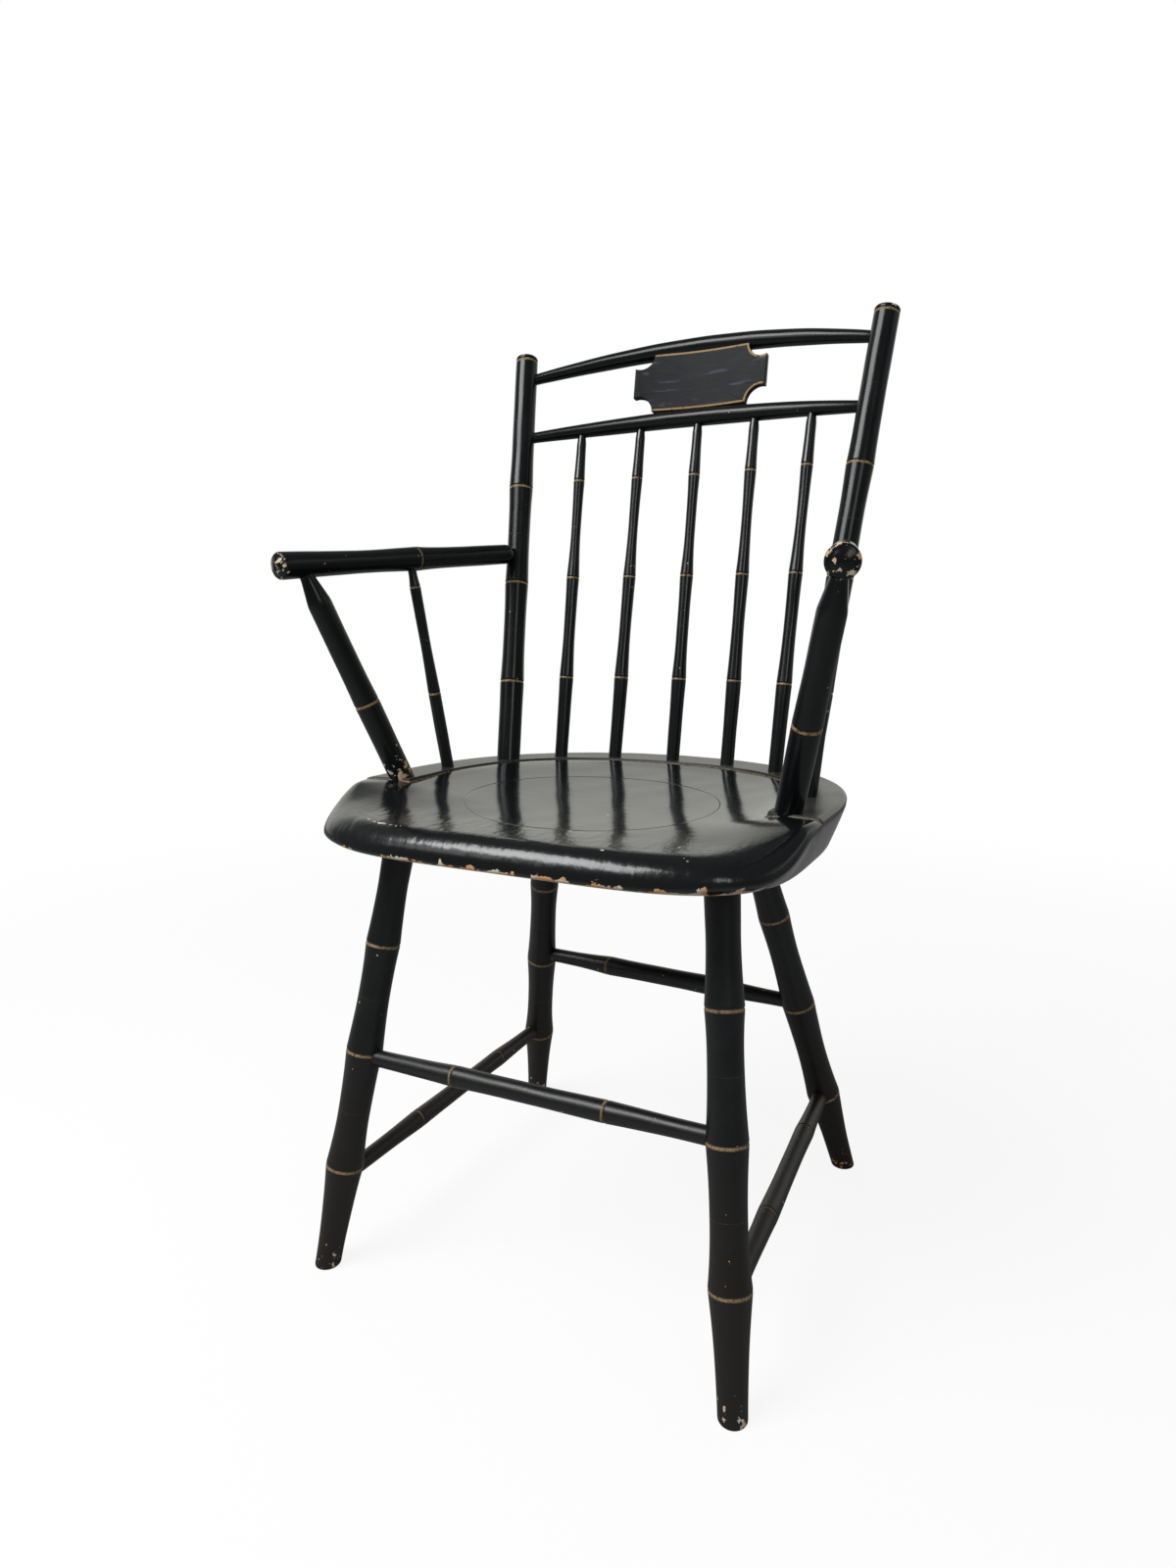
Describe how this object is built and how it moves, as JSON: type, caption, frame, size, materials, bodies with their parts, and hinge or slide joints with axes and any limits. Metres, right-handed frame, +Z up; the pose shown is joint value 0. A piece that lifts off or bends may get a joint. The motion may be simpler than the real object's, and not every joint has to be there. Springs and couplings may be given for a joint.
{
  "type": "windsor armchair",
  "caption": "Black-painted wooden armchair with a spindle back, bowed rails, a small tablet between them, bamboo-turned legs and a saddled plank seat.",
  "frame": {"origin": "on the floor, below the middle of the chair's bounding box", "axes": "+Z up from the floor, the chair faces -Y, and +X is the right-hand side of a viewer who faces the chair"},
  "size_m": [0.5123, 0.4519, 0.8932],
  "materials": {
    "paint": "glossy black paint over wood, with ochre ring lines and small chips",
    "leg_paint": "worn satin black paint over wood, browner towards the feet",
    "seat_paint": "glossy black paint over a wooden plank, chipped to bare wood along the front edge",
    "tablet_paint": "slate-black paint with horizontal grain and an ochre border line"
  },
  "bodies": {
    "root": {"seat": "seat_paint", "leg_front_left": "leg_paint", "leg_front_right": "leg_paint", "leg_rear_left": "leg_paint", "leg_rear_right": "leg_paint", "stretcher_front": "leg_paint", "stretcher_rear": "leg_paint", "stretcher_left": "leg_paint", "stretcher_right": "leg_paint", "post_left": "paint", "post_right": "paint", "rail_lower": "paint", "rail_upper": "paint", "tablet": "tablet_paint", "spindle_1": "paint", "spindle_2": "paint", "spindle_3": "paint", "spindle_4": "paint", "spindle_5": "paint", "arm_left": "paint", "arm_right": "paint", "arm_post_left": "paint", "arm_post_right": "paint", "arm_spindle_left": "paint", "arm_spindle_right": "paint"}
  },
  "joints": []
}
